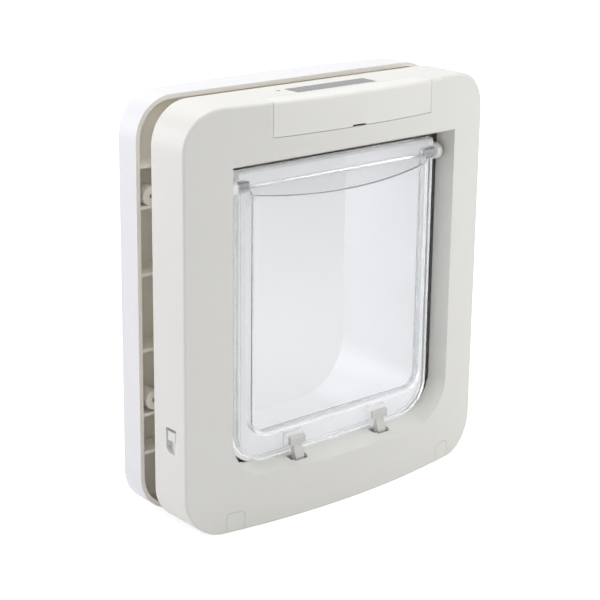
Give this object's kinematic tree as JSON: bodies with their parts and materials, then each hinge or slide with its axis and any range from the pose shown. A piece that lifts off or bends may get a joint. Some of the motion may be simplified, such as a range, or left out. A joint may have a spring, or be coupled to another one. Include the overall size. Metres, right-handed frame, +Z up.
{
  "type": "cat flap",
  "caption": "White pet door unit with a bowed face, clear top-hinged flap, sill lock catches, battery lid, tunnel and an outdoor frame with ribs behind.",
  "frame": {"origin": "bottom centre of the assembly's bounding box", "axes": "+X to the right seen from indoors, +Y from the indoor face towards outdoors, +Z up"},
  "size_m": [0.262, 0.111, 0.286],
  "materials": {
    "fascia_plastic": "satin moulded white plastic, fine texture",
    "chassis_plastic": "satin white plastic",
    "frame_plastic": "satin moulded white plastic, fine texture",
    "clear_plastic": "clear polished plastic",
    "window_plastic": "smoked grey gloss",
    "lamp_plastic": "tinted clear plastic",
    "catch_plastic": "satin grey beige plastic",
    "latch_plastic": "satin white plastic",
    "dark_plastic": "black plastic",
    "slider_plastic": "natural acetal",
    "button_plastic": "grey plastic",
    "steel": "zinc plated steel",
    "solenoid_steel": "plated steel",
    "cell_wrap": "printed sleeve",
    "contact_steel": "nickel plated spring steel",
    "board_laminate": "green solder mask",
    "coil_winding": "enamelled copper winding",
    "display_glass": "display cell"
  },
  "bodies": {
    "housing": {"front_fascia": "fascia_plastic", "rear_chassis": "chassis_plastic", "rear_frame": "frame_plastic", "display_window": "window_plastic", "display_module": "display_glass", "status_light": "lamp_plastic", "screw_cover_left": "fascia_plastic", "screw_cover_right": "fascia_plastic", "side_latch_left": "latch_plastic", "side_latch_right": "latch_plastic", "hinge_pin_left": "steel", "hinge_pin_right": "steel", "lock_tray": "dark_plastic", "lock_solenoid": "solenoid_steel", "battery_tray": "dark_plastic", "battery_cells": "cell_wrap", "battery_contacts": "contact_steel", "circuit_board": "board_laminate", "antenna_coil": "coil_winding", "fixing_screws": "steel", "case_screws": "steel"},
    "flap": {"flap_panel": "clear_plastic"},
    "lid": {"battery_lid": "fascia_plastic"},
    "slider": {"lock_slider": "slider_plastic", "lock_plunger": "steel"},
    "left_catch": {"catch_left": "catch_plastic"},
    "right_catch": {"catch_right": "catch_plastic"},
    "learn_key": {"learn_button": "button_plastic"},
    "lock_key": {"lock_button": "button_plastic"}
  },
  "joints": [
    {"name": "flap_hinge", "type": "hinge", "parent": "housing", "child": "flap", "pos_m": [0, -0.0345, 0.231], "axis": [1, 0, 0], "range_deg": [0, 80]},
    {"name": "lock_slide", "type": "slide", "parent": "housing", "child": "slider", "axis": [1, 0, 0], "range_m": [0, 0.013], "stiffness_N_per_m": 100, "springref_m": -0.004},
    {"name": "catch_left_drop", "type": "slide", "parent": "housing", "child": "left_catch", "axis": [0, 0, -1], "range_m": [0, 0.013]},
    {"name": "catch_right_drop", "type": "slide", "parent": "housing", "child": "right_catch", "axis": [0, 0, -1], "range_m": [0, 0.013]},
    {"name": "lid_slide", "type": "slide", "parent": "housing", "child": "lid", "axis": [0, -1, 0], "range_m": [0, 0.03]},
    {"name": "learn_press", "type": "slide", "parent": "housing", "child": "learn_key", "axis": [0, 1, 0], "range_m": [0, 0.001], "stiffness_N_per_m": 400, "springref_m": -0.001},
    {"name": "lock_press", "type": "slide", "parent": "housing", "child": "lock_key", "axis": [0, 1, 0], "range_m": [0, 0.001], "stiffness_N_per_m": 400, "springref_m": -0.001}
  ],
  "couplings": [
    {"joint": "catch_left_drop", "follows": "lock_slide", "ratio": 1},
    {"joint": "catch_right_drop", "follows": "lock_slide", "ratio": 1}
  ]
}
